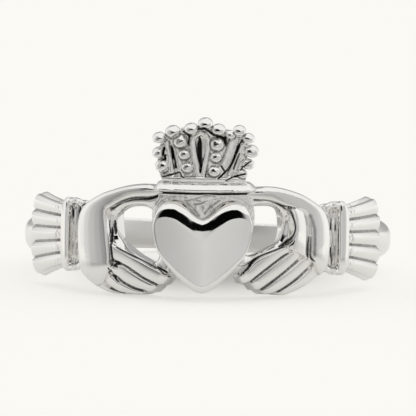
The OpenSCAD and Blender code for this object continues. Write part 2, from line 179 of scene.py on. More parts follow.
class Form:
    """Closed solids gathered as points and faces, with the marks cut into them."""

    def __init__(self):
        self.points, self.faces, self.strokes = [], [], []

    def add(self, points, faces):
        base = sum(len(p) for p in self.points)
        self.points.append(np.asarray(points, float))
        self.faces += [tuple(i + base for i in f) for f in faces]

    def loft(self, sections, closed=False):
        """Skin through closed sections of equal length, capped or joined end to end."""
        s = np.array(sections, float)
        n, m = s.shape[:2]
        faces = []
        for i in range(n if closed else n - 1):
            here, there = i * m, (i + 1) % n * m
            for j in range(m):
                k = (j + 1) % m
                faces.append((here + j, here + k, there + k, there + j))
        points = s.reshape(-1, 3)
        if not closed:
            points = np.vstack([points, s[0].mean(0), s[-1].mean(0)])
            for j in range(m):
                faces.append((n * m, (j + 1) % m, j))
                faces.append((n * m + 1, (n - 1) * m + j, (n - 1) * m + (j + 1) % m))
        self.add(points, faces)

    def strip(self, one, other, height, across, fall, closed=False, foot=None):
        """A skin between two lines of equal length.

        across holds shares of the way from one line to the other, and fall how far the skin lies
        below height there: one list for all, or one for each point of the lines. foot is the other
        line's place at the finger hole, where it isn't straight below.
        """
        one, other = np.asarray(one, float), np.asarray(other, float)
        across, n = np.asarray(across, float), len(one)
        top = np.broadcast_to(height, n)[:, None] - np.broadcast_to(fall, (n, len(across)))
        sections = []
        for a, b, c, h in zip(one, other, other if foot is None else foot, top):
            way = a + (b - a) * across[:, None]
            sections.append([[*a, -DEEP], *np.column_stack([way, h]), [*c, -DEEP]])
        self.loft(sections, closed)

    def ribbon(self, path, width, height, across, fall):
        """A strip along a middle line."""
        path = np.asarray(path, float)
        way = np.gradient(path, axis=0)
        way /= np.linalg.norm(way, axis=1)[:, None]
        side = np.stack([-way[:, 1], way[:, 0]], 1) * np.broadcast_to(width, len(path))[:, None] / 2
        self.strip(path + side, path - side, height, across, fall)

    def bead(self, place, height, radius, lean, squash):
        """A bead, flattened along a direction that leans up from the face by an angle in degrees."""
        bm = bmesh.new()
        bmesh.ops.create_icosphere(bm, subdivisions=3, radius=radius)
        seat = Matrix.Translation((*place, height)) @ Matrix.Rotation(math.radians(-lean), 4, "X")
        bmesh.ops.transform(bm, matrix=seat @ Matrix.Diagonal((1, 1, squash, 1)), verts=bm.verts)
        points = [v.co[:] for v in bm.verts]
        faces = [tuple(v.index for v in f.verts) for f in bm.faces]
        bm.free()
        self.add(points, faces)

    def taper(self, share, height):
        """Draws the feet in towards the middle of the band, up to a height."""
        for p in self.points:
            p[:, 1] *= lerp(share, 1, np.clip(p[:, 2] / height, 0, 1))

    def stroke(self, line, mark):
        """Keeps a mark, to be cut along a line once the solids are fused."""
        line = np.asarray(line, float)
        if line.shape[1] < 3:
            line = np.column_stack([line, np.full(len(line), mark.half)])
        self.strokes.append((line, mark))

    def mesh(self, name):
        mesh = bpy.data.meshes.new(name)
        mesh.from_pydata(np.vstack(self.points).tolist(), [], self.faces)
        face_out(mesh)
        return mesh


# Cross profiles: shares of the way across, and falls in millimetres
BACK_ACROSS = [0, 0.015, 0.05, 0.125, 0.3, 0.45, 0.65, 0.8, 0.9, 0.96, 1]
BACK_FALL = np.array([0.36, 0.20, 0.09, 0.03, 0.005, 0, 0.018, 0.048, 0.085, 0.12, 0.18])
RIGHT_BACK_FALL = np.array([0.36, 0.22, 0.13, 0.08, 0.03, 0.01, 0, 0, 0.01, 0.04, 0.12])
THUMB_FALL = np.array([0.44, 0.36, 0.27, 0.17, 0.03, 0, 0.02, 0.045, 0.07, 0.10, 0.22])
FINGER_ACROSS = [0, 0.07, 0.14, 0.21, 0.28, 0.5, 0.7, 0.85, 0.94, 1]
FINGER_FALL = [0.30, 0.18, 0.08, 0.01, 0, 0.015, 0.035, 0.06, 0.10, 0.22]
RIM_ACROSS = [0, 0.06, 0.15, 0.3, 0.45, 0.6, 0.75, 0.88, 0.96, 1]
RIM_FALL = np.array([0.18, 0.05, 0.01, 0, 0.02, 0.05, 0.10, 0.17, 0.24, 0.34])
RIM_STEEP = np.array([0.12, 0.02, 0, 0.03, 0.08, 0.13, 0.18, 0.23, 0.28, 0.38])
LEAF_ACROSS = [0, 0.08, 0.2, 0.35, 0.5, 0.7, 0.85, 1]
LEAF_FALL = [0.45, 0.12, 0, 0.05, 0.105, 0.17, 0.21, 0.25]
BAR_ACROSS = [0, 0.07, 0.14, 0.3, 0.5, 0.75, 0.9, 1]
LEFT_BAR_FALL = [0.32, 0.10, 0.01, 0, 0.02, 0.07, 0.14, 0.34]
RIGHT_BAR_FALL = [0.32, 0.14, 0.07, 0.03, 0, 0.01, 0.06, 0.30]
FLUTE_ACROSS = [0, 0.06, 0.15, 0.35, 0.6, 0.82, 0.93, 1]
FLUTE_FALL = [0.18, 0.08, 0.03, 0, 0.01, 0.05, 0.10, 0.20]
ROUND_ACROSS = [0.5 - 0.5 * math.cos(a) for a in np.linspace(0, math.pi, 15)]
ROUND_FALL = np.array([1 - math.sin(a) for a in np.linspace(0, math.pi, 15)])
SLAB_ACROSS = [0, 0.04, 0.12, 0.25, 0.5, 0.75, 0.88, 0.96, 1]
SLAB_FALL = np.array([1, 0.5, 0.2, 0.05, 0, 0.05, 0.2, 0.5, 1])
BASE_ACROSS = [0, 0.2, 0.4, 0.6, 0.75, 0.88, 0.95, 1]
BASE_FALL = [0.60, 0.34, 0.20, 0.10, 0.04, 0, 0.03, 0.22]

# Hands, read from the front view: all places are shares of the room between heart and heel, and of
# the hand's rise or drop. knuckle is the point of a finger's lower edge at which its line starts
left = SimpleNamespace(fall=BACK_FALL, bar_fall=LEFT_BAR_FALL, knuckle=11)
right = SimpleNamespace(fall=RIGHT_BACK_FALL, bar_fall=RIGHT_BAR_FALL, knuckle=4)
# Back of the hand and thumb, from the little finger up and over to the thumb's tip:
# outer edge along and up, inner edge along and up, height as a share from thumb to hand
left.back = [
    [0.78, -0.88, 0.66, -0.80, 0.3], [0.88, -0.76, 0.60, -0.66, 0.7], [0.97, -0.60, 0.56, -0.52, 0.93],
    [1.00, -0.34, 0.572, -0.28, 1], [1.01, 0, 0.60, -0.02, 1], [1.00, 0.36, 0.62, 0.22, 0.95],
    [0.93, 0.58, 0.63, 0.46, 0.8], [0.75, 0.77, 0.57, 0.53, 0.6], [0.61, 0.86, 0.47, 0.61, 0.38],
    [0.40, 0.95, 0.33, 0.68, 0.15], [0.16, 0.99, 0.13, 0.71, 0], [0.02, 0.95, 0.0, 0.74, -0.25],
    [-0.08, 0.86, -0.12, 0.80, -0.6],
]
right.back = [
    [0.92, -0.64, 0.86, -0.55, 0.3], [0.98, -0.54, 0.80, -0.44, 0.72], [1.00, -0.40, 0.745, -0.34, 0.93],
    [1.01, -0.20, 0.735, -0.16, 1], [1.01, 0.05, 0.745, 0.05, 1], [0.99, 0.34, 0.73, 0.30, 0.95],
    [0.92, 0.57, 0.68, 0.49, 0.8], [0.74, 0.77, 0.56, 0.56, 0.6], [0.60, 0.87, 0.45, 0.60, 0.38],
    [0.40, 0.95, 0.30, 0.67, 0.15], [0.20, 0.97, 0.13, 0.70, 0], [0.03, 0.93, 0.0, 0.71, -0.25],
    [-0.08, 0.84, -0.10, 0.76, -0.6],
]
# Rim of the window between hand and heart: outer line and opening, each along and up
left.rim = [
    [-0.12, 0.79, -0.05, 0.40], [0.06, 0.71, 0.04, 0.50], [0.20, 0.70, 0.13, 0.55], [0.33, 0.68, 0.26, 0.55],
    [0.48, 0.62, 0.36, 0.51], [0.65, 0.53, 0.45, 0.42], [0.73, 0.34, 0.49, 0.34], [0.71, 0.12, 0.49, 0.20],
    [0.66, -0.03, 0.475, 0.05], [0.48, -0.21, 0.40, -0.09], [0.32, -0.32, 0.33, -0.21],
    [0.18, -0.40, 0.23, -0.30], [0.05, -0.48, 0.13, -0.37], [-0.09, -0.57, 0.03, -0.43],
    [-0.20, -0.64, -0.06, -0.42], [-0.30, -0.20, -0.12, -0.10], [-0.28, 0.30, -0.10, 0.20],
]
right.rim = [
    [-0.12, 0.76, -0.10, 0.50], [0.06, 0.71, 0.0, 0.575], [0.16, 0.70, 0.08, 0.595],
    [0.26, 0.68, 0.23, 0.59], [0.37, 0.63, 0.31, 0.52], [0.45, 0.57, 0.36, 0.44], [0.50, 0.47, 0.385, 0.34],
    [0.535, 0.36, 0.39, 0.25], [0.55, 0.18, 0.375, 0.12], [0.50, -0.05, 0.33, -0.05],
    [0.38, -0.17, 0.27, -0.11], [0.26, -0.24, 0.21, -0.15], [0.14, -0.30, 0.10, -0.22],
    [0.05, -0.36, 0.0, -0.29], [-0.16, -0.50, -0.10, -0.30], [-0.30, -0.20, -0.14, -0.10],
    [-0.28, 0.30, -0.12, 0.20],
]
# Fingers, from the forefinger down: rows from knuckle to tip of the upper and the lower edge, each
# along and up
left.fingers = [
    [[0.70, -0.02, 0.70, -0.42], [0.60, -0.10, 0.62, -0.43], [0.46, -0.21, 0.52, -0.45],
     [0.32, -0.32, 0.41, -0.51], [0.18, -0.40, 0.28, -0.61], [0.05, -0.48, 0.14, -0.72],
     [-0.09, -0.57, 0.0, -0.80], [-0.17, -0.63, -0.09, -0.84], [-0.24, -0.70, -0.17, -0.80]],
    [[0.68, -0.55, 0.70, -0.62], [0.57, -0.52, 0.60, -0.64], [0.44, -0.50, 0.50, -0.72],
     [0.32, -0.59, 0.40, -0.81], [0.18, -0.70, 0.26, -0.89], [0.05, -0.785, 0.13, -0.93],
     [-0.03, -0.83, 0.06, -0.96], [-0.07, -0.87, 0.0, -0.94]],
    [[0.68, -0.58, 0.80, -0.68], [0.60, -0.65, 0.70, -0.79], [0.50, -0.74, 0.59, -0.89],
     [0.40, -0.82, 0.48, -0.96], [0.27, -0.90, 0.35, -0.99], [0.16, -0.94, 0.22, -1.00],
     [0.10, -0.97, 0.15, -0.99]],
    [[0.80, -0.66, 0.92, -0.70], [0.72, -0.77, 0.80, -0.86], [0.64, -0.86, 0.68, -0.94],
     [0.52, -0.95, 0.54, -0.985], [0.36, -0.98, 0.38, -1.0]],
]
right.fingers = [
    [[0.50, -0.17, 0.52, -0.23], [0.44, -0.16, 0.50, -0.27], [0.36, -0.19, 0.43, -0.32],
     [0.24, -0.25, 0.34, -0.41], [0.12, -0.32, 0.23, -0.52], [0.02, -0.40, 0.11, -0.64],
     [-0.05, -0.52, 0.02, -0.73], [-0.12, -0.60, -0.07, -0.79], [-0.18, -0.68, -0.14, -0.78]],
    [[0.60, -0.22, 0.68, -0.32], [0.51, -0.26, 0.62, -0.39], [0.41, -0.35, 0.52, -0.51],
     [0.28, -0.48, 0.38, -0.66], [0.15, -0.61, 0.24, -0.79], [0.03, -0.73, 0.12, -0.89],
     [-0.02, -0.79, 0.05, -0.89]],
    [[0.76, -0.32, 0.82, -0.45], [0.67, -0.36, 0.76, -0.53], [0.55, -0.49, 0.64, -0.67],
     [0.42, -0.63, 0.51, -0.80], [0.28, -0.77, 0.37, -0.91], [0.17, -0.87, 0.25, -0.96],
     [0.12, -0.91, 0.18, -0.96]],
    [[0.88, -0.46, 0.98, -0.56], [0.79, -0.50, 0.88, -0.68], [0.66, -0.66, 0.76, -0.80],
     [0.52, -0.80, 0.61, -0.90], [0.40, -0.90, 0.46, -0.97], [0.34, -0.94, 0.38, -0.97]],
]
FINGER_HEIGHTS = [FINGER_H, FINGER_H - 0.07, FINGER_H - 0.15, FINGER_H - 0.25]
# Palm's sunk bed under rim and fingers: upper and lower edge, each along and up
BED_ROWS = [
    [0.30, 0.60, 0.35, 0.80], [0.50, 0.52, 0.62, 0.66], [0.58, 0.40, 0.80, 0.45], [0.60, 0.20, 0.85, 0.20],
    [0.56, 0.0, 0.88, -0.20], [0.57, -0.10, 0.80, -0.70], [0.40, -0.27, 0.60, -0.87],
    [0.22, -0.41, 0.40, -0.94], [0.04, -0.52, 0.18, -0.94], [-0.20, -0.62, -0.10, -0.78],
]
# Facet of the right palm, between the window's rim and the back of the hand
LEAF_ROWS = [
    [0.50, 0.54, 0.76, 0.56], [0.53, 0.44, 0.82, 0.44], [0.545, 0.30, 0.86, 0.28], [0.55, 0.15, 0.87, 0.06],
    [0.53, 0.0, 0.87, -0.16], [0.49, -0.10, 0.86, -0.30], [0.47, -0.17, 0.85, -0.38],
]
LEAF_H = 1.95
# Soft shade beside the facet
LEAF_SHADE_ROWS = [[0.73, 0.42], [0.775, 0.20], [0.785, 0], [0.785, -0.30]]
# Pit in the groove at the wrist, cut in and painted black as shade: share along the groove, millimetres up,
# half width
left.pit = [[0.50, 1.55, 0.07], [0.46, 1.30, 0.13], [0.44, 1.05, 0.11], [0.42, 0.80, 0.05]]
right.pit = [[0.62, 1.00, 0.04], [0.56, 0.55, 0.08], [0.62, 0.05, 0.09], [0.60, -0.50, 0.08],
             [0.66, -1.0, 0.06], [0.70, -1.45, 0.03]]
# Creases and pits, cut in and painted dark as shade: points along and up, each with the half width in
# millimetres
left.creases = [
    [[0.62, 0.47, 0.03], [0.47, 0.615, 0.05], [0.33, 0.685, 0.085], [0.20, 0.705, 0.10], [0.06, 0.715, 0.08],
     [-0.06, 0.77, 0.06]],
    [[0.605, 0.14, 0.03], [0.595, -0.02, 0.05], [0.58, -0.16, 0.06], [0.565, -0.34, 0.06],
     [0.56, -0.50, 0.05]],
    [[0.585, 0.27, 0.05], [0.58, 0.18, 0.09], [0.57, 0.10, 0.09], [0.56, 0.02, 0.05]],
    [[0.56, -0.38, 0.05], [0.55, -0.46, 0.10], [0.53, -0.52, 0.09], [0.48, -0.55, 0.03]],
    [[0.585, -0.56, 0.03], [0.57, -0.63, 0.04], [0.53, -0.73, 0.05], [0.47, -0.80, 0.03]],
    [[-0.04, -0.53, 0.03], [-0.12, -0.58, 0.05], [-0.18, -0.62, 0.05]],
]
right.creases = [
    [[0.03, 0.71, 0.03], [0.20, 0.70, 0.03], [0.34, 0.65, 0.035], [0.47, 0.54, 0.045], [0.53, 0.37, 0.04],
     [0.555, 0.18, 0.035], [0.53, 0.03, 0.05], [0.46, -0.09, 0.09], [0.38, -0.16, 0.06]],
    [[0.745, 0.02, 0.03], [0.735, -0.16, 0.06], [0.745, -0.32, 0.08], [0.80, -0.40, 0.03]],
    [[0.10, -0.33, 0.04], [0.02, -0.41, 0.07], [-0.05, -0.52, 0.07], [-0.12, -0.62, 0.04]],
]


def edges(rows, h_one, h_other, steps=6, closed=False):
    """The two lines of a table's rows on a hand, at the heights at which they were read."""
    r = smooth([row[:4] for row in rows], steps, closed)
    return (np.column_stack(on_hand(r[:, 0], r[:, 1], h_one)),
            np.column_stack(on_hand(r[:, 2], r[:, 3], h_other)))


def marks(place, rows, steps=6):
    """A line of changing width through rows of places and half widths."""
    v = smooth(rows, steps)
    return np.column_stack([*place(v[:, 0], v[:, 1]), v[:, 2]])


# The rim turns steep and rises a little along its lower side: shares at rows of its table
STEEP_ROWS, STEEP, STEEP_RISE = [4, 7, 13, 15], [0, 1, 1, 0], 0.15
# Rows of the rim between which a line of painted shade follows each of its edges
LINED_ROWS = (9, 14)
# How far each finger reaches under the one above, as a share of its width
FINGER_LAP = 0.10
# How far a finger drops at shares of the way from knuckle to tip, and how many points its line
# leaves out at the tip
FINGER_AT, FINGER_DROP, TIP_POINTS = [0, 0.08, 0.8, 0.93, 1], [0.1, 0, 0.02, 0.08, 0.28], 4


def hand_form(hand):
    form = Form()
    # Bed
    bed = edges(BED_ROWS, PALM_H, PALM_H)
    form.strip(*bed, PALM_H, SLAB_ACROSS, 0.05 * SLAB_FALL)
    # Back of the hand and thumb
    steps = 8
    share = smooth([row[4] for row in hand.back], steps)
    outer, inner = edges(hand.back, HEART_EDGE_H, HEART_EDGE_H, steps)
    mix = np.clip(share, 0, 1)[:, None]
    form.strip(outer, inner, lerp(THUMB_H, HAND_H, share), BACK_ACROSS, lerp(THUMB_FALL, hand.fall, mix))
    # Rim of the window, whose opening runs straight back as seen from the front
    steep = np.repeat(np.interp(np.arange(len(hand.rim)), STEEP_ROWS, STEEP), steps)
    outer, opening = edges(hand.rim, FRAME_H, FRAME_H - RIM_FALL[-1], steps, closed=True)
    foot = edges(hand.rim, 0, 0, steps, closed=True)[1]
    form.strip(outer, opening, FRAME_H + STEEP_RISE * steep, RIM_ACROSS,
               lerp(RIM_FALL, RIM_STEEP, steep[:, None]), closed=True, foot=foot)
    lined = slice(*(row * steps for row in LINED_ROWS))
    # Lines of painted shade along both edges of the rim
    form.stroke(outer[lined], RIM_LINE)
    form.stroke(opening[lined], OPENING_LINE)
    # Fingers
    for k, (rows, height) in enumerate(zip(hand.fingers, FINGER_HEIGHTS)):
        one, other = edges(rows, height, height)
        if k:
            one = one + FINGER_LAP * (one - other)
        drop = np.interp(np.linspace(0, 1, len(one)), FINGER_AT, FINGER_DROP)
        form.strip(one, other, height - drop, FINGER_ACROSS, FINGER_FALL)
        # A line of painted shade in the crease under each finger
        form.stroke(other[hand.knuckle:-TIP_POINTS], FINGER_LINE)
    # Creases cut in and painted dark as shade
    for rows in hand.creases:
        form.stroke(marks(on_hand, rows), CREASE)
    if hand is right:
        leaf = edges(LEAF_ROWS, LEAF_H, LEAF_H)
        form.strip(*leaf, LEAF_H, LEAF_ACROSS, LEAF_FALL)
        form.stroke(route(on_hand, LEAF_SHADE_ROWS), LEAF_SHADE)
    return form


# Wrists: place of the middle and width of groove and bar, and how far the bar reaches up and down
GROOVE_M, GROOVE_W, BAR_M, BAR_THICK = HEEL + 0.38, 1.3, HEEL + 1.04, 0.74
WRIST_HALF = BAR_W / 2 - 0.08
# At their ends, how far groove and bar drop, and the least share of their width
GROOVE_DROP, GROOVE_LEAST, BAR_DROP, BAR_LEAST = 0.25, 0.6, 0.35, 0.3
# Lips that close the groove at both ends: from hand to bar, how far up or down they lie
LIP_Z, LIP_LAP, LIP_W, LIP_H = (1.56, 1.76, 1.72), 0.1, 0.36, 1.76
# Cuffs: shares of CUFF_L to which the corners and the middle of the bowed end reach, and the
# power that keeps the end's middle straight
CUFF_CORNER, CUFF_MIDDLE, CUFF_POWER = 0.60, 0.89, 6
# How far under the bar the cuff's skin, its flutes and the lines between them start
SKIN_LAP, FLUTE_LAP, LINE_LAP = 0.4, 0.35, 0.2
# How far the skin stands above CUFF_H, and how far it drops at the upper and lower side
SKIN_RISE, SKIN_DROP = 0.14, 0.3
# Share of the cuff's width that the flutes take, and that part without the lines between them
FLUTED, FLUTE_TOPS = 0.95, 0.88
# A flute's end: how far it stays behind the skin's, and how far it drops at shares of its length
FLUTE_SHORT, FLUTE_AT, FLUTE_DROP = 0.02, [0, 0.85, 0.95, 1], [0, 0, 0.024, 0.12]
# Share to which wrist and cuff draw in at the finger hole, and height at which they are full
TAPER, TAPER_H = 0.62, 1.3


def cuff_end(share):
    """Where a cuff's bowed outer edge lies, at a share of its half width."""
    return CUFF + CUFF_L * lerp(CUFF_CORNER, CUFF_MIDDLE, 1 - np.abs(share) ** CUFF_POWER)


def cuff_line(share, lap, short=0.0):
    """A line out along a cuff, at a share of its half width."""
    t = np.linspace(0, 1, 20)
    return line_at(lerp(CUFF - lap, cuff_end(share) - short, t), share * lerp(CUFF_IN_W, CUFF_OUT_W, t) / 2)


def cuff_form(hand):
    form = Form()
    t = np.linspace(-1, 1, 41)
    fat = (1 - np.abs(t) ** 5) ** 0.5
    groove = line_at(GROOVE_M, t * WRIST_HALF * 0.97)
    form.ribbon(groove, GROOVE_W * lerp(GROOVE_LEAST, 1, fat), GROOVE_H - GROOVE_DROP * (1 - fat),
                SLAB_ACROSS, 0.1 * SLAB_FALL)
    # Rough ground in the groove, a little darkened as painted shade
    form.stroke(groove[3:-3], GROOVE_GROUND)
    # A pit in the groove, cut in and painted black as shade
    pit = smooth(hand.pit, 6)
    form.stroke(np.column_stack([HEEL + pit[:, 0] * GROOVE_L, pit[:, 1:]]), PIT)
    bar = line_at(BAR_M, t * WRIST_HALF)
    form.ribbon(bar, BAR_THICK * np.maximum(fat, BAR_LEAST), BAR_H - BAR_DROP * (1 - fat), BAR_ACROSS,
                hand.bar_fall)
    for end in (-1, 1):
        lip = line_at([HEEL - LIP_LAP, GROOVE_M, BAR_M - LIP_LAP], end * np.array(LIP_Z))
        form.ribbon(smooth(lip, 8), LIP_W, LIP_H, ROUND_ACROSS, 0.2 * ROUND_FALL)
    # Cuff: a fan, with flutes on it up to its bowed end
    u = np.linspace(-1, 1, 61)
    form.strip(line_at(CUFF - SKIN_LAP, u * CUFF_IN_W / 2), line_at(cuff_end(u), u * CUFF_OUT_W / 2),
               CUFF_H + SKIN_RISE - SKIN_DROP * np.abs(u) ** 14, SLAB_ACROSS, 0.12 * SLAB_FALL)
    for k in range(FLUTES):
        u = (2 * (k + 0.5) / FLUTES - 1) * FLUTED
        sides = [cuff_line(u + side * FLUTE_TOPS / FLUTES, FLUTE_LAP, FLUTE_SHORT) for side in (1, -1)]
        drop = np.interp(np.linspace(0, 1, len(sides[0])), FLUTE_AT, FLUTE_DROP)
        form.strip(*sides, FLUTE_H - drop, FLUTE_ACROSS, FLUTE_FALL)
    # Lines between the flutes, cut in and painted dark as shade
    for k in range(1, FLUTES):
        form.stroke(cuff_line((2 * k / FLUTES - 1) * FLUTED, LINE_LAP), FLUTE_LINE)
    # Rough ground where the cuff meets the bar, a little darkened as painted shade
    form.stroke(line_at(CUFF, np.linspace(-1, 1, 9) * CUFF_IN_W * 0.46), CUFF_GROUND)
    form.taper(TAPER, TAPER_H)
    return form


# Heart: right half of the outline and of the face's border, from cleft to tip, as shares of half
# width and of rise or drop
HEART_ROWS = [
    [0, 0.47, 0, 0.135], [0.10, 0.56, 0.09, 0.15], [0.20, 0.70, 0.19, 0.19], [0.30, 0.82, 0.30, 0.27],
    [0.43, 0.93, 0.42, 0.355], [0.58, 0.98, 0.57, 0.45], [0.72, 0.96, 0.73, 0.49], [0.85, 0.87, 0.86, 0.47],
    [0.95, 0.72, 0.945, 0.41], [1.005, 0.50, 0.98, 0.31], [1.015, 0.25, 0.985, 0.20], [1, 0.04, 0.968, 0.03],
    [0.96, -0.16, 0.925, -0.16], [0.87, -0.36, 0.83, -0.345], [0.70, -0.56, 0.64, -0.525],
    [0.48, -0.77, 0.425, -0.70], [0.21, -0.965, 0.17, -0.865], [0, -1.03, 0, -0.925],
]
HEART_MID = -0.1 * HEART_DOWN
# Bevel from the face's border out to the outline: share of the way, fall as a share of its width
BEVEL = [[0, 0], [0.03, 0.008], [0.1, 0.03], [0.2, 0.058], [0.3, 0.088], [0.4, 0.122], [0.5, 0.163],
         [0.6, 0.235], [0.7, 0.32], [0.8, 0.42], [0.9, 0.53], [0.96, 0.62], [1, 0.75]]
# Share of the band's curve that is taken out of the heart's face, and how far the face is domed
HEART_FLAT, HEART_DOME = 0.45, 0.05
# Rings of the face, as shares of the way from its middle to its border
FACE_RINGS = (0.96, 0.88, 0.78, 0.66, 0.54, 0.42, 0.3, 0.18, 0.06)


def heart_form():
    half = smooth(HEART_ROWS, 10)
    rows = np.vstack([half, half[-2:0:-1] * [-1, 1, -1, 1]])
    outline, border = (np.column_stack(on_heart(rows[:, k], rows[:, k + 1], HEART_H)) for k in (0, 2))
    width = np.linalg.norm(outline - border, axis=1)

    def face(flat, share):
        """Height of the face, a little domed up and down and less curved round than the band."""
        curve = (BORE_R + HEART_H) * (1 / np.cos(flat[:, 0] / FACE_R) - 1)
        return HEART_H - HEART_DOME * share ** 2 + HEART_FLAT * curve

    form = Form()
    edge = face(border, 1)
    rings = [np.column_stack([outline, np.full(len(rows), -DEEP)])]
    for t, fall in reversed(BEVEL):
        rings.append(np.column_stack([lerp(border, outline, t), edge - fall * width]))
    middle = np.array([0, HEART_MID])
    for share in FACE_RINGS:
        flat = lerp(middle, border, share)
        rings.append(np.column_stack([flat, face(flat, share)]))
    form.loft(rings)
    return form


# Crown: places are shares of its half width and of its height above the base bar
BASE_ROWS = [[-1.03, 0.3, 0.75], [-0.96, 0.6, 0.88], [-0.84, 1, 1], [-0.4, 1.05, 1], [0, 1.05, 1],
             [0.4, 1.05, 1], [0.86, 1, 1], [1.0, 0.7, 0.88], [1.08, 0.35, 0.75]]
# Sunk ground: half width and place up
GROUND_ROWS = [[0.80, -0.12], [0.80, 0.1], [0.84, 0.3], [0.88, 0.5], [0.85, 0.68], [0.68, 0.82],
               [0.32, 0.90], [0.1, 0.94]]
# Columns and arches: points along them, width and depth below ARCH_H in millimetres
COLUMNS = [
    ([[-0.80, 0.05], [-0.86, 0.30], [-0.84, 0.57]], 0.20, 0.05),
    ([[-0.60, 0.06], [-0.67, 0.37], [-0.73, 0.66]], 0.27, 0.0),
    ([[-0.42, 0.06], [-0.48, 0.30], [-0.55, 0.58]], 0.30, 0.03),
    ([[-0.08, 0.04], [-0.15, 0.26], [-0.21, 0.51], [-0.21, 0.72], [-0.08, 0.82]], 0.30, 0.0),
    ([[-0.02, 0.04], [0.02, 0.26], [0.07, 0.52], [0.06, 0.72], [-0.08, 0.82]], 0.24, 0.0),
    ([[0.27, 0.05], [0.42, 0.30], [0.52, 0.54], [0.60, 0.77]], 0.46, 0.02),
    ([[0.47, 0.06], [0.61, 0.30], [0.70, 0.50], [0.76, 0.64]], 0.24, 0.06),
    ([[0.62, 0.05], [0.72, 0.28], [0.80, 0.48]], 0.30, 0.08),
    ([[-0.79, 0.72], [-0.60, 0.80], [-0.36, 0.84], [-0.08, 0.88]], 0.34, 0.08),
    ([[0.82, 0.70], [0.64, 0.80], [0.40, 0.80], [0.20, 0.86], [-0.02, 0.89]], 0.34, 0.08),
]
# Slots, cut in and painted black as shade: points along and up, with the line's half width in millimetres
SLOTS = [
    [[-0.76, 0.59, 0.035], [-0.77, 0.48, 0.06], [-0.765, 0.37, 0.045]],
    [[-0.66, 0.58, 0.03], [-0.60, 0.44, 0.075], [-0.56, 0.34, 0.05], [-0.54, 0.22, 0.05]],
    [[-0.09, 0.71, 0.05], [-0.09, 0.60, 0.11], [-0.085, 0.45, 0.10], [-0.075, 0.28, 0.06],
     [-0.065, 0.13, 0.03]],
    [[-0.41, 0.83, 0.03], [-0.30, 0.76, 0.06], [-0.29, 0.68, 0.05], [-0.31, 0.60, 0.03]],
    [[-0.10, 0.87, 0.03], [0.0, 0.88, 0.05], [0.10, 0.83, 0.045], [0.18, 0.785, 0.04], [0.30, 0.75, 0.04],
     [0.40, 0.70, 0.07], [0.42, 0.60, 0.03]],
    [[0.72, 0.66, 0.03], [0.61, 0.49, 0.035], [0.53, 0.30, 0.045], [0.44, 0.17, 0.045], [0.27, 0.03, 0.03]],
    [[0.68, 0.47, 0.025], [0.62, 0.33, 0.035], [0.57, 0.20, 0.03]],
    [[0.33, 0.25, 0.035], [0.40, 0.16, 0.035]],
    [[-0.79, 0.05, 0.03], [-0.62, 0.09, 0.035], [-0.47, 0.13, 0.03], [-0.42, 0.06, 0.025],
     [-0.36, 0.04, 0.02]],
    [[0.42, 0.0, 0.025], [0.58, 0.07, 0.03], [0.78, 0.12, 0.035]],
    [[0.70, 0.18, 0.02], [0.78, 0.27, 0.03], [0.88, 0.34, 0.02]],
]
# Beads: along and up, size as a share of BEAD_D, lean of the face in degrees
BEAD_ROWS = [
    [-0.86, 0.72, 1.1, 42], [-0.86, 0.47, 1.1, 42], [-0.80, 0.25, 1.1, 36], [-0.60, 0.83, 1.2, 44],
    [-0.25, 0.88, 1.15, 46], [0.02, 0.97, 1.2, 46], [0.27, 0.87, 1.15, 44], [0.50, 0.79, 0.85, 42],
    [0.67, 0.86, 1.05, 42], [0.84, 0.73, 1.0, 40], [0.90, 0.51, 1.2, 36], [0.84, 0.29, 1.0, 32],
    [0.74, 0.12, 0.8, 30], [-0.46, 0.66, 1.1, 26], [-0.38, 0.44, 0.9, 26], [-0.32, 0.22, 0.9, 26],
    [0.25, 0.62, 1.1, 26], [0.23, 0.40, 0.9, 26], [0.20, 0.16, 0.95, 26],
]
# Beads with a crease of painted shade all round; the others have it only round their lower half
RINGED = (13, 16)
BEAD_RADIUS, BEAD_SQUASH, BEAD_RING = 0.56 * BEAD_D, 0.58, 1.06
# How far the base bar sags in the middle and sinks at its ends, and how far below it its line of painted
# shade lies
BASE_SAG, BASE_SINK, BASE_LINE_GAP = 0.05, 0.1, 0.05
# Rounded foot of the columns: half width, place up and sag as shares, then width and height
FOOT_HALF, FOOT_Z, FOOT_SAG, FOOT_W, FOOT_H = 0.80, 0.03, 0.02, 0.28, ARCH_H + 0.1
# Height of the crown's sunk ground, and a line along it that is roughened
CROWN_FLOOR, ROUGH_ROWS = GROUND_H + 0.25, [[-0.7, 0.45], [0.7, 0.45]]
# Share of the table's widths at which columns and arches are built
COLUMN_WIDER = 1.1


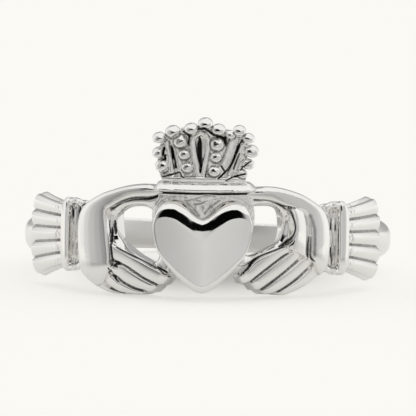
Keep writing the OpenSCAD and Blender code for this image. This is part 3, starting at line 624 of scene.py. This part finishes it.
def crown_form():
    form = Form()
    r = smooth(BASE_ROWS, 6)
    middle = BASE_LOW + BASE_L / 2 - BASE_SAG * (1 - r[:, 0] ** 2) - BASE_SINK * (1 - r[:, 1])
    base = line_at(s_at(r[:, 0] * BASE_W / 2), middle)
    form.ribbon(base, BASE_L * r[:, 1], BASE_H * r[:, 2], BASE_ACROSS, BASE_FALL)
    # A line of painted shade under the base bar
    form.stroke(base[3:-3] - [0, BASE_L / 2 + BASE_LINE_GAP], BASE_LINE)
    x = np.linspace(-FOOT_HALF, FOOT_HALF, 31)
    foot = np.column_stack(on_crown(x, FOOT_Z - FOOT_SAG * (1 - x ** 2)))
    form.ribbon(foot, FOOT_W, FOOT_H, ROUND_ACROSS, 0.14 * ROUND_FALL)
    g = smooth(GROUND_ROWS, 6)
    form.strip(*(np.column_stack(on_crown(side * g[:, 0], g[:, 1])) for side in (-1, 1)), CROWN_FLOOR,
               SLAB_ACROSS, 0.1 * SLAB_FALL)
    for points, width, down in COLUMNS:
        form.ribbon(route(on_crown, points, 8), COLUMN_WIDER * width, ARCH_H - down, SLAB_ACROSS,
                    0.13 * SLAB_FALL)
    # Slots, cut in and painted black as shade
    for rows in SLOTS:
        form.stroke(marks(on_crown, rows), SLOT)
    form.stroke(route(on_crown, ROUGH_ROWS), CROWN_GROUND)
    for i, (x, z, size, lean) in enumerate(BEAD_ROWS):
        place, radius = on_crown(x, z), BEAD_RADIUS * size
        form.bead(place, ARCH_H, radius, lean, BEAD_SQUASH)
        # A crease cut round each bead and painted dark as shade
        sweep = np.radians(np.linspace(0, 360, 25) if i in RINGED else np.linspace(200, 340, 13))
        form.stroke(place + BEAD_RING * radius * line_at(np.cos(sweep), np.sin(sweep)), BEAD_LINE)
    shoulder(form)
    return form


# Ledge round the heart's lobes: shares of the heart's half width and rise
LEDGE_ROWS = [[0.0, 0.98], [0.30, 1.08], [0.58, 1.12], [0.82, 1.03], [0.95, 0.84], [1.0, 0.60], [1.01, 0.35],
              [0.99, 0.1]]
CRACKS = [
    [[-0.34, 0.95], [-0.175, 1.0], [-0.03, 1.07], [0.10, 1.09], [0.24, 1.07]],
    [[-0.38, 0.96], [-0.24, 0.78], [-0.09, 0.56]],
    [[0.03, 0.60], [0.16, 0.80], [0.34, 0.97]],
    [[-0.20, 0.86], [-0.06, 0.88], [0.04, 0.94]],
]
# Ledge: width at the cleft and at the side, height at shares of its length, how far below its
# middle its line of painted shade lies, and how many points at the side stay smooth
LEDGE_W, LEDGE_AT, LEDGE_H = (0.5, 0.3), [0, 0.6, 1], [1.52, 1.52, 1.2]
LEDGE_LINE_GAP, LEDGE_SMOOTH = 0.1, 16
# Ground: shares of the heart's half width and rise at which it ends, how far it reaches under the
# base bar, its height, and a line along the cleft that is roughened
SHOULDER_HALF, SHOULDER_LOW, SHOULDER_LAP, SHOULDER_H = 0.93, 0.3, 0.3, 1.5
CLEFT_ROWS = [[-0.1, 0.8], [0.1, 0.8]]


def shoulder(form):
    """Rough ground between the heart's lobes, the thumbs and the crown."""
    half = float(s_at(SHOULDER_HALF * HEART_HALF))
    s = np.linspace(-half, half, 31)
    form.strip(line_at(s, SHOULDER_LOW * HEART_UP), line_at(s, BASE_LOW + SHOULDER_LAP), SHOULDER_H,
               SLAB_ACROSS, 0 * SLAB_FALL)
    for sign in (-1, 1):
        ledge = route(on_heart, np.array(LEDGE_ROWS) * [sign, 1], 8)
        t = np.linspace(0, 1, len(ledge))
        form.ribbon(ledge, lerp(*LEDGE_W, t), np.interp(t, LEDGE_AT, LEDGE_H), SLAB_ACROSS, 0.08 * SLAB_FALL)
        form.stroke(ledge[:-LEDGE_SMOOTH], LEDGE_GROUND)
        # A line of painted shade under the ledge
        form.stroke(ledge - [0, LEDGE_LINE_GAP], LEDGE_LINE)
    # Cracks cut in and painted dark as shade
    for points in CRACKS:
        form.stroke(route(on_heart, points), CRACK_LINE)
    form.stroke(route(on_heart, CLEFT_ROWS), CLEFT_GROUND)


# Band: it starts under the hands, at a share of the way to the heel
BAND_START = 0.86
# Its sides: places in from the side with the height above the finger hole, then with the drop below
# the outer corner
BAND_INSIDE, BAND_OUTSIDE = [(0.2, 0), (0.08, 0.05), (0, 0.14)], [(0, 0.08), (0.02, 0)]
# Power by which it is rounded outside, and how far the back stands askew, as on a ring that has
# been worn: a share of the finger hole's radius
BAND_ROUND, BAND_ASKEW = 3.2, 0.03
# Depth of the satin inside, where the finger goes
SATIN_DEEP = 0.05


def band_mesh():
    """The band from one cuff round the back to the other: straight sides, rounded outside."""
    start = HEEL / FACE_R * BAND_START
    shift = SHANK_T - SHANK_BACK_T
    outer = BORE_R + SHANK_T
    sections = []
    for a in np.linspace(start, 2 * math.pi - start, 361):
        ux, uy = math.sin(a), -math.cos(a)
        # Thickness: the outside is a circle set forward of the finger hole
        thick = math.sqrt(outer ** 2 - (shift * ux) ** 2) - uy * shift - BORE_R
        half = lerp(SHANK_W, SHANK_BACK_W, max(uy, 0)) / 2
        rise = SHANK_R - math.sqrt(SHANK_R ** 2 - half ** 2)
        back = [(q * half, thick - rise * abs(q) ** BAND_ROUND) for q in np.linspace(-1, 1, 23)]
        side = [(half - inset, h) for inset, h in BAND_INSIDE]
        side += [(half - inset, back[0][1] - h) for inset, h in BAND_OUTSIDE]
        profile = [(-z, h) for z, h in side] + back[1:-1] + side[::-1]
        askew = -BAND_ASKEW * BORE_R * ux * max(uy, 0)
        sections.append([[(BORE_R + h) * ux, (BORE_R + h) * uy, z + askew] for z, h in profile])
    form = Form()
    form.loft(sections)
    mesh = form.mesh("band")
    p = read(mesh)
    add_layer(mesh, "satin", (np.hypot(p[:, 0], p[:, 1]) < BORE_R + SATIN_DEEP).astype(float))
    return mesh


# From forms to pieces
def applied(obj):
    """The object's mesh with its modifiers applied."""
    graph = bpy.context.evaluated_depsgraph_get()
    graph.update()
    return bpy.data.meshes.new_from_object(obj.evaluated_get(graph))


def melt(form, name, voxel, rounds):
    """Fuses a form's overlapping solids into one skin, and rounds its edges as casting and polish do."""
    obj = bpy.data.objects.new(name, form.mesh(name))
    bpy.context.scene.collection.objects.link(obj)
    remesh = obj.modifiers.new("fuse", "REMESH")
    remesh.mode, remesh.voxel_size, remesh.adaptivity = "VOXEL", voxel, 0
    soften = obj.modifiers.new("soften", "SMOOTH")
    soften.factor, soften.iterations = SOFTEN, rounds
    obj.data = applied(obj)
    obj.modifiers.clear()
    return obj


def read(mesh, what="co"):
    co = np.empty(len(mesh.vertices) * 3)
    mesh.vertices.foreach_get(what, co)
    return co.reshape(-1, 3)


def write(mesh, co):
    mesh.vertices.foreach_set("co", np.ascontiguousarray(co, float).ravel())
    mesh.update()


def add_layer(mesh, name, values):
    """Gives each point a value that the material reads."""
    mesh.attributes.new(name, "FLOAT", "POINT").data.foreach_set("value", values)


def crumbs(bm):
    """Points of loose bits, which fusing can leave beside a piece."""
    bm.verts.index_update()
    seen, loose = set(), []
    for first in bm.verts:
        if first.index in seen:
            continue
        seen.add(first.index)
        part = [first]
        for v in part:
            for edge in v.link_edges:
                near = edge.other_vert(v)
                if near.index not in seen:
                    seen.add(near.index)
                    part.append(near)
        if len(part) < CRUMB:
            loose += part
    return loose


def trim_floor(mesh):
    """Flattens what lies below the finger hole's wall on to it, joins the points that meet there and
    closes the gaps that this leaves."""
    p = read(mesh)
    p[:, 2] = np.maximum(p[:, 2], BORE_STEP)
    write(mesh, p)
    bm = bmesh.new()
    bm.from_mesh(mesh)
    bmesh.ops.remove_doubles(bm, verts=[v for v in bm.verts if v.co.z < BORE_STEP + HAIR], dist=MEET)
    bmesh.ops.dissolve_degenerate(bm, edges=bm.edges, dist=HAIR)
    # Flaps folded on to the floor
    flaps = True
    while flaps:
        flaps = [f for f in bm.faces if any(e.is_boundary for e in f.edges)
                 and any(len(e.link_faces) > 2 for e in f.edges)]
        bmesh.ops.delete(bm, geom=flaps, context="FACES")
    bmesh.ops.delete(bm, geom=crumbs(bm), context="VERTS")
    filled = bmesh.ops.holes_fill(bm, edges=[e for e in bm.edges if e.is_boundary], sides=0)
    bmesh.ops.triangulate(bm, faces=filled["faces"])
    bm.to_mesh(mesh)
    bm.free()


def upward(mesh, soft):
    """1 where a surface looks up from the flat, and 0 where it is steep or looks down."""
    return np.clip((read(mesh, "normal")[:, 2] - 0.1) / soft, 0, 1)


def reach(p, line, flat):
    """How strongly a mark acts at each point: 1 on its line, fading to 0."""
    near = np.full(len(p), np.inf)
    for a, b, half_a, half_b in zip(line[:-1, :2], line[1:, :2], line[:-1, 2], line[1:, 2]):
        d = b - a
        t = np.clip(((p - a) @ d) / max(d @ d, 1e-12), 0, 1)
        gap = np.linalg.norm(p - a - t[:, None] * d, axis=1) / lerp(half_a, half_b, t)
        near = np.minimum(near, gap)
    return np.exp(-near ** flat)


# Heights above this are the carved surface, not the feet below it
SURFACE = 0.3
# Cast skin: how far it is drawn out along the finger, cells to the millimetre of large and small
# lumps, share of the small ones, and height in millimetres
CAST_STRETCH, LUMPS, SMALL_LUMPS, SMALL_SHARE, LUMP_H = [1, 0.45, 1], 5.5, 12, 0.6, 0.06
# Painted shade between the lumps, and the most of it
LUMP_PAINTED_SHADE, LUMP_MOST = 0.9, 0.5


def carve(mesh, strokes):
    """Cuts the marks into the upper surface, and gives their painted shade and roughness there."""
    p = read(mesh)
    top = upward(mesh, 0.3) * (p[:, 2] > SURFACE)
    dark, cast, cut = np.zeros(len(p)), np.zeros(len(p)), np.zeros(len(p))
    for line, mark in strokes:
        margin = 2.5 * line[:, 2].max()
        low, high = line[:, :2].min(0) - margin, line[:, :2].max(0) + margin
        pick = np.flatnonzero(np.all((p[:, :2] > low) & (p[:, :2] < high), axis=1) & (top > 0))
        amount = reach(p[pick, :2], line, mark.flat) * top[pick]
        for layer, share in ((cut, mark.depth), (dark, mark.dark), (cast, mark.rough)):
            layer[pick] = np.maximum(layer[pick], share * amount)
    p[:, 2] -= cut
    rough = np.flatnonzero(cast > 0.05)
    if len(rough):
        drawn = [Vector(point) for point in p[rough] * CAST_STRETCH]
        lumps = np.array([noise.noise(v * LUMPS) + SMALL_SHARE * noise.noise(v * SMALL_LUMPS)
                          for v in drawn])
        p[rough, 2] += LUMP_H * cast[rough] * lumps
        # Painted shade in the hollows between the lumps
        between = np.clip(-LUMP_PAINTED_SHADE * lumps, 0, LUMP_MOST)
        dark[rough] = np.maximum(dark[rough], cast[rough] * between)
    write(mesh, p)
    return dark, cast


# Grid of the highest surface, on which hollows and edges are told apart
GRID = 0.05
GRID_S, GRID_Z = (-12.6, 12.6), (-3.6, 6.4)
# Blur of the surroundings and of the surface itself, in cells
WIDE_BLUR, TIGHT_BLUR = 3.0, 1.0
# Points this far below the highest surface lie under it
UNDER = 0.25
# Depth below the surroundings at which painted shade begins, how much more makes it full, and its share
HOLLOW_FROM, HOLLOW_SOFT, HOLLOW_PAINTED_SHADE = 0.08, 0.27, 0.28
# Height above the surroundings at which wear begins, and how much more makes it full
WORN_FROM, WORN_SOFT = 0.03, 0.12


def blur(field, sigma):
    cells = int(3 * sigma) + 1
    kernel = np.exp(-0.5 * (np.arange(-cells, cells + 1) / sigma) ** 2)
    kernel /= kernel.sum()
    for axis in (0, 1):
        field = np.apply_along_axis(lambda row: np.convolve(row, kernel, "same"), axis, field)
    return field


def grid_at(field, p):
    """Value of a grid at flat places, between its cells."""
    u = (p[:, 0] - GRID_S[0]) / GRID - 0.5
    v = (p[:, 1] - GRID_Z[0]) / GRID - 0.5
    i, j = np.floor(u).astype(int), np.floor(v).astype(int)
    i, j = np.clip(i, 0, field.shape[0] - 2), np.clip(j, 0, field.shape[1] - 2)
    fu, fv = np.clip(u - i, 0, 1), np.clip(v - j, 0, 1)
    return lerp(lerp(field[i, j], field[i + 1, j], fu), lerp(field[i, j + 1], field[i + 1, j + 1], fu), fv)


def shade_pieces(pieces):
    """Paints shade into hollows and marks proud edges with wear, over all the carved pieces together."""
    shape = (round((GRID_S[1] - GRID_S[0]) / GRID), round((GRID_Z[1] - GRID_Z[0]) / GRID))
    high = np.zeros(shape)
    for mesh, _, _ in pieces:
        p = read(mesh)
        i = ((p[:, 0] - GRID_S[0]) / GRID).astype(int)
        j = ((p[:, 1] - GRID_Z[0]) / GRID).astype(int)
        np.maximum.at(high, (i, j), p[:, 2])
    solid = (high > SURFACE).astype(float)
    wide, tight = (blur(high * solid, sigma) / np.maximum(blur(solid, sigma), 1e-3)
                   for sigma in (WIDE_BLUR, TIGHT_BLUR))
    for mesh, dark, cast in pieces:
        p = read(mesh)
        top = upward(mesh, 0.4) * (p[:, 2] > grid_at(tight, p) - UNDER)
        below = grid_at(wide, p) - p[:, 2]
        hollow = np.clip((below - HOLLOW_FROM) / HOLLOW_SOFT, 0, 1) * top
        worn = np.clip((-below - WORN_FROM) / WORN_SOFT, 0, 1) * top
        # Painted shade: the marks' own and that of the hollows
        add_layer(mesh, "painted_shade", np.maximum(dark, HOLLOW_PAINTED_SHADE * hollow))
        add_layer(mesh, "cast", cast)
        add_layer(mesh, "wear", worn)


def wrap(mesh):
    """Bends the flat solid round the finger hole."""
    p = read(mesh)
    a, r = p[:, 0] / FACE_R, BORE_R + p[:, 2]
    write(mesh, np.stack([r * np.sin(a), -r * np.cos(a), p[:, 1]], 1))


def finish_piece(obj, material, sharp=180):
    """Sets a piece on the table as part of the ring. Edges of more than sharp degrees stay crisp."""
    obj.data.transform(Matrix.Scale(MM, 4) @ IN_REST)
    face_out(obj.data)
    obj.data.polygons.foreach_set("use_smooth", [True] * len(obj.data.polygons))
    if sharp < 180:
        obj.data.set_sharp_from_angle(angle=math.radians(sharp))
    obj.data.materials.clear()
    obj.data.materials.append(material)
    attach(obj, "root")
    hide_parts("ring")
    print(obj.name, "triangles", sum(len(f.vertices) - 2 for f in obj.data.polygons))


# Materials
DEGREES = 180 / math.pi


class Graph:
    """A node tree, with short calls for the nodes that repeat."""

    def __init__(self, tree):
        self.tree = tree

    def node(self, kind, **sets):
        made = self.tree.nodes.new("ShaderNode" + kind)
        for key, value in sets.items():
            setattr(made, key, value)
        return made

    def feed(self, socket, value):
        """Links another node's output to a socket, or gives the socket a plain value."""
        if isinstance(value, bpy.types.NodeSocket):
            self.tree.links.new(value, socket)
        else:
            socket.default_value = value

    def calc(self, operation, a, b=0.0):
        made = self.node("Math", operation=operation)
        self.feed(made.inputs[0], a)
        self.feed(made.inputs[1], b)
        return made.outputs[0]

    def plus(self, a, b):
        return self.calc("ADD", a, b)

    def minus(self, a, b):
        return self.calc("SUBTRACT", a, b)

    def times(self, a, b):
        return self.calc("MULTIPLY", a, b)

    def ramp(self, value, low, high, to_low=0.0, to_high=1.0, curve="LINEAR"):
        """A value mapped from one range to another, and kept in it."""
        made = self.node("MapRange", interpolation_type=curve)
        for socket, v in zip(made.inputs, (value, low, high, to_low, to_high)):
            self.feed(socket, v)
        return made.outputs[0]

    def mix(self, share, low, high, kind="RGBA"):
        """A blend of two colours, or of two values."""
        made = self.node("Mix", data_type=kind)
        first, out = (6, 2) if kind == "RGBA" else (2, 0)
        for i, v in ((0, share), (first, low), (first + 1, high)):
            self.feed(made.inputs[i], v)
        return made.outputs[out]

    def grain(self, place, scale, detail):
        """Cloudy noise with a number of cells to the metre."""
        made = self.node("TexNoise")
        for key, v in (("Vector", place), ("Scale", scale), ("Detail", detail)):
            self.feed(made.inputs[key], v)
        return made.outputs[0]

    def parts(self, vector):
        made = self.node("SeparateXYZ")
        self.feed(made.inputs[0], vector)
        return made.outputs

    def azimuth(self, x, y):
        """Degrees round from the front, positive towards the right."""
        return self.times(self.calc("ARCTAN2", x, self.times(y, -1)), DEGREES)


def new_material(name):
    """A material with its graph and the sockets of its shader."""
    mat = bpy.data.materials.new(name)
    mat.use_nodes = True
    return mat, Graph(mat.node_tree), mat.node_tree.nodes["Principled BSDF"].inputs


# Silver: clean, a little warmer in clouds, brighter on worn edges, black where shade is painted in
CLEAN, WARM = (0.93, 0.925, 0.912, 1), (0.90, 0.892, 0.872, 1)
WORN, PAINTED_SHADE_BLACK = (0.97, 0.967, 0.957, 1), (0.022, 0.021, 0.02, 1)
# Cells to the metre in the clouds and in the pits of the cast skin
CLOUDS, PITS = 450, 5000
# Roughness: least and most of the polish, and what cast skin, satin and the painted shade add
POLISH, DULLEST = 0.055, 0.10
CAST_ROUGH, SATIN_ROUGH, PAINTED_SHADE_ROUGH = 0.20, 0.30, 0.12
# Hair scratches: cells to the metre along and across, and their turn in radians
SCRATCHES, SCRATCH_TURN = (400, 9000, 9000), (0.3, 0.5, 0.2)
# Bump: shares of scratches and pits, strength, and depth in millimetres
SCRATCH_BUMP, PIT_BUMP, BUMP, BUMP_DEPTH = 0.06, 0.9, 0.35, 0.03


def silver_material():
    """Polished cast silver: painted shade in the hollows, worn edges, rough cast places, fine scratches."""
    mat, g, bsdf = new_material("silver")
    place = g.node("TexCoord").outputs["Object"]
    painted_shade, cast, wear, satin = (g.node("Attribute", attribute_name=name).outputs["Fac"]
                                  for name in ("painted_shade", "cast", "wear", "satin"))
    clouds, pits = g.grain(place, CLOUDS, 3), g.grain(place, PITS, 4)

    bright = g.mix(g.times(wear, 0.7), g.mix(g.ramp(clouds, 0.35, 0.7), CLEAN, WARM), WORN)
    # Base colour turns black where shade is painted, speckled by the pits
    speckled = g.plus(painted_shade, g.times(g.minus(pits, 0.5), 0.3))
    g.feed(bsdf["Base Color"], g.mix(g.ramp(speckled, 0.12, 0.85, 0, 0.98), bright, PAINTED_SHADE_BLACK))
    g.feed(bsdf["Metallic"], 1.0)

    rough = g.ramp(clouds, 0.3, 0.75, POLISH, DULLEST)
    for layer, more in ((cast, CAST_ROUGH), (satin, SATIN_ROUGH), (painted_shade, PAINTED_SHADE_ROUGH)):
        rough = g.plus(rough, g.times(layer, more))
    g.feed(bsdf["Roughness"], rough)

    # Scratches everywhere, grain where it is cast
    stretch = g.node("Mapping")
    for key, v in (("Vector", place), ("Scale", SCRATCHES), ("Rotation", SCRATCH_TURN)):
        g.feed(stretch.inputs[key], v)
    scratches = g.grain(stretch.outputs[0], 1.0, 2)
    height = g.plus(g.times(scratches, SCRATCH_BUMP), g.times(pits, g.times(cast, PIT_BUMP)))
    bump = g.node("Bump")
    for key, v in (("Strength", BUMP), ("Distance", BUMP_DEPTH * MM), ("Height", height)):
        g.feed(bump.inputs[key], v)
    g.feed(bsdf["Normal"], bump.outputs[0])
    return mat


# Table: its size in metres, its colour, and a glow as of a lit background. The glow grows from
# nothing under the ring to full, over distances in millimetres, which paints a soft shadow under the ring
TABLE_SIZE, TABLE_COLOUR, TABLE_DIFFUSE = 6, (0.955, 0.947, 0.913), 0.65
TABLE_GLOW, GLOW_FROM, GLOW_FULL = 0.55, 0.5, 9.5
# In the silver the glow is painted light: dark under the ring as painted shade, bright round it and
# bright far off to both sides. First its brightness before and beside the ring, and the degrees from the
# front between which it changes
GLOW_BESIDE, GLOW_BEFORE, BEFORE, BESIDE = 0.38, 0.87 * 0.38, 30, 65
# Then its brightness far off, and the degrees at which that begins and ends, each with its fade
GLOW_FAR, FAR_BEGINS, FAR_ENDS = 0.55, (62, 78), (138, 158)
# Distances in millimetres at which the painted shade under the ring ends, and at which the near part turns
# into the far one
PAINTED_SHADE_ENDS, NEAR_TO_FAR = (7, 10), (15, 55)


def table_material():
    mat, g, bsdf = new_material("table")
    g.feed(bsdf["Base Color"], (*(TABLE_DIFFUSE * c for c in TABLE_COLOUR), 1))
    g.feed(bsdf["Roughness"], 0.9)
    g.feed(bsdf["Specular IOR Level"], 0.0)
    g.feed(bsdf["Emission Color"], (*TABLE_COLOUR, 1))
    place = g.node("TexCoord").outputs["Object"]
    length = g.node("VectorMath", operation="LENGTH")
    g.feed(length.inputs[0], place)
    distance = g.times(length.outputs["Value"], 1 / MM)
    x, y, _ = g.parts(place)
    turn = g.calc("ABSOLUTE", g.azimuth(x, y))
    sides = g.times(g.ramp(turn, *FAR_BEGINS), g.ramp(turn, *FAR_ENDS, 1, 0))
    far = g.ramp(distance, *NEAR_TO_FAR)
    near = g.ramp(turn, BEFORE, BESIDE, GLOW_BEFORE, GLOW_BESIDE)
    mirrored = g.plus(g.times(g.minus(1, far), near), g.times(g.times(sides, far), GLOW_FAR))
    # Painted shade under the ring, in the glow that the silver reflects
    mirrored = g.times(mirrored, g.ramp(distance, *PAINTED_SHADE_ENDS))
    # Painted shadow under the ring, in the glow that the camera sees
    glow_with_painted_shadow = g.ramp(distance, GLOW_FROM, GLOW_FULL, 0, TABLE_GLOW, "SMOOTHSTEP")
    camera_ray = g.node("LightPath").outputs["Is Camera Ray"]
    g.feed(bsdf["Emission Strength"], g.mix(camera_ray, mirrored, glow_with_painted_shadow, "FLOAT"))
    return mat


def make_table():
    bpy.ops.mesh.primitive_grid_add(x_subdivisions=2, y_subdivisions=2, size=TABLE_SIZE, location=(0, 0, 0))
    table = bpy.context.object
    table.name = "table"
    table.data.materials.append(table_material())


# Light: a grey studio in front, seen in the flat faces, a dark gap above it and white round about.
# Brightness by angle round from the front, in degrees
STUDIO = [
    (-180, 0.34), (-155, 0.48), (-135, 0.76), (-115, 0.84), (-100, 0.92), (-90, 0.97), (-76, 0.70),
    (-60, 0.50), (-50, 0.42), (-38, 0.30), (-28, 0.24), (-20, 0.50), (-12, 0.54), (0, 0.68), (20, 0.57),
    (34, 0.52), (44, 0.56), (62, 0.54), (70, 0.58), (78, 0.66), (86, 0.90), (94, 0.98), (104, 0.95),
    (118, 0.88), (135, 0.78), (155, 0.48), (180, 0.34),
]
STUDIO_COLOUR, OVERHEAD = (1.0, 0.996, 0.98, 1), 0.92
# The gap's edges in degrees, each with half the width of its fade, and how dark it is
GAP_LOW, GAP_LEFT, GAP_RIGHT, GAP_DARK = (29, 1.2), (-36, 7), (24, 6), 0.998
# Its upper edge drops by GAP_DROP towards the right, between the two angles of DROP_AT
GAP_HIGH, HIGH_FADE, GAP_DROP, DROP_AT = 58, 1.5, 13, (8, 24)


def make_world():
    world = bpy.data.worlds.new("studio")
    bpy.context.scene.world = world
    world.use_nodes = True
    world.node_tree.nodes.clear()
    g = Graph(world.node_tree)
    x, y, z = g.parts(g.node("TexCoord").outputs["Generated"])
    azimuth, elevation = g.azimuth(x, y), g.times(g.calc("ARCSINE", z), DEGREES)
    around = g.node("ValToRGB")
    g.feed(around.inputs[0], g.ramp(azimuth, -180, 180))
    stops = around.color_ramp.elements
    while len(stops) > 1:
        stops.remove(stops[-1])
    stops[0].position = 0
    for angle, level in STUDIO:
        stop = stops.new((angle + 180) / 360) if angle > -180 else stops[0]
        stop.color = (level, level, level, 1)

    def past(value, edge, fade):
        """0 before an edge and 1 after it."""
        return g.ramp(value, edge - fade, edge + fade)

    high = g.minus(GAP_HIGH, g.ramp(azimuth, *DROP_AT, 0, GAP_DROP))
    above = past(g.minus(elevation, high), 0, HIGH_FADE)
    below = g.minus(1, above)
    gap = g.times(past(elevation, *GAP_LOW), below)
    gap = g.times(gap, g.times(past(azimuth, *GAP_LEFT), g.minus(1, past(azimuth, *GAP_RIGHT))))
    level = g.plus(g.times(around.outputs[0], below), g.times(above, OVERHEAD))
    level = g.times(level, g.minus(1, g.times(gap, GAP_DARK)))

    # The camera itself sees the table's colour behind the table
    choose = g.node("MixShader")
    g.feed(choose.inputs[0], g.node("LightPath").outputs["Is Camera Ray"])
    for i, colour, strength in ((1, STUDIO_COLOUR, level), (2, (*TABLE_COLOUR, 1), 1.0)):
        background = g.node("Background")
        g.feed(background.inputs[0], colour)
        g.feed(background.inputs[1], strength)
        g.feed(choose.inputs[i], background.outputs[0])
    g.feed(g.node("OutputWorld").inputs[0], choose.outputs[0])


# Camera: level with the band's own plane, in front of the heart and a little to the right. The scale
# and the pixel at which the middle of the finger hole lies are read from the photo
MM_PER_PIXEL, CENTRE_X, CENTRE_Y, IMAGE = 0.0543, 207.8, 236.0, 416
CAMERA_MM, SENSOR_MM, YAW, ROLL = 350.0, 36, math.radians(1.5), math.radians(0.9)


def make_camera():
    data = bpy.data.cameras.new("camera")
    camera = bpy.data.objects.new("camera", data)
    bpy.context.scene.collection.objects.link(camera)
    bpy.context.scene.camera = camera
    data.sensor_width = SENSOR_MM
    data.lens = SENSOR_MM * CAMERA_MM / (MM_PER_PIXEL * IMAGE)
    data.clip_start, data.clip_end = 0.01, 20
    # In the ring's own frame the camera looks along +Y from the front
    place = (Matrix.Rotation(YAW, 4, "Z") @ Matrix.Translation((0, -CAMERA_MM, 0))
             @ Matrix.Rotation(math.radians(90), 4, "X") @ Matrix.Rotation(ROLL, 4, "Z"))
    data.shift_x = (IMAGE / 2 - CENTRE_X) / IMAGE
    data.shift_y = (CENTRE_Y - IMAGE / 2) / IMAGE
    turned = IN_REST @ place
    turned.translation *= MM
    camera.matrix_world = turned


# Build
def carved(form, name, voxel=VOXEL, rounds=3, mirrored=False):
    """A piece still flat, with its painted shade and roughness."""
    obj = melt(form, name, voxel, rounds)
    trim_floor(obj.data)
    dark, cast = carve(obj.data, form.strokes)
    if mirrored:
        write(obj.data, read(obj.data) * [-1, 1, 1])
        obj.data.flip_normals()
    return obj, dark, cast


silver = silver_material()
pieces = [
    carved(hand_form(right), "right_hand"),
    carved(hand_form(left), "left_hand", mirrored=True),
    carved(cuff_form(right), "right_cuff"),
    carved(cuff_form(left), "left_cuff", mirrored=True),
    carved(heart_form(), "heart"),
    carved(crown_form(), "crown", FINE_VOXEL, 2),
]
shade_pieces([(obj.data, dark, cast) for obj, dark, cast in pieces])
for obj, _, _ in pieces:
    wrap(obj.data)
    finish_piece(obj, silver)
band = bpy.data.objects.new("band", band_mesh())
bpy.context.scene.collection.objects.link(band)
finish_piece(band, silver, 38)

make_world()
make_table()
make_camera()
bpy.context.scene.view_settings.view_transform = "Standard"
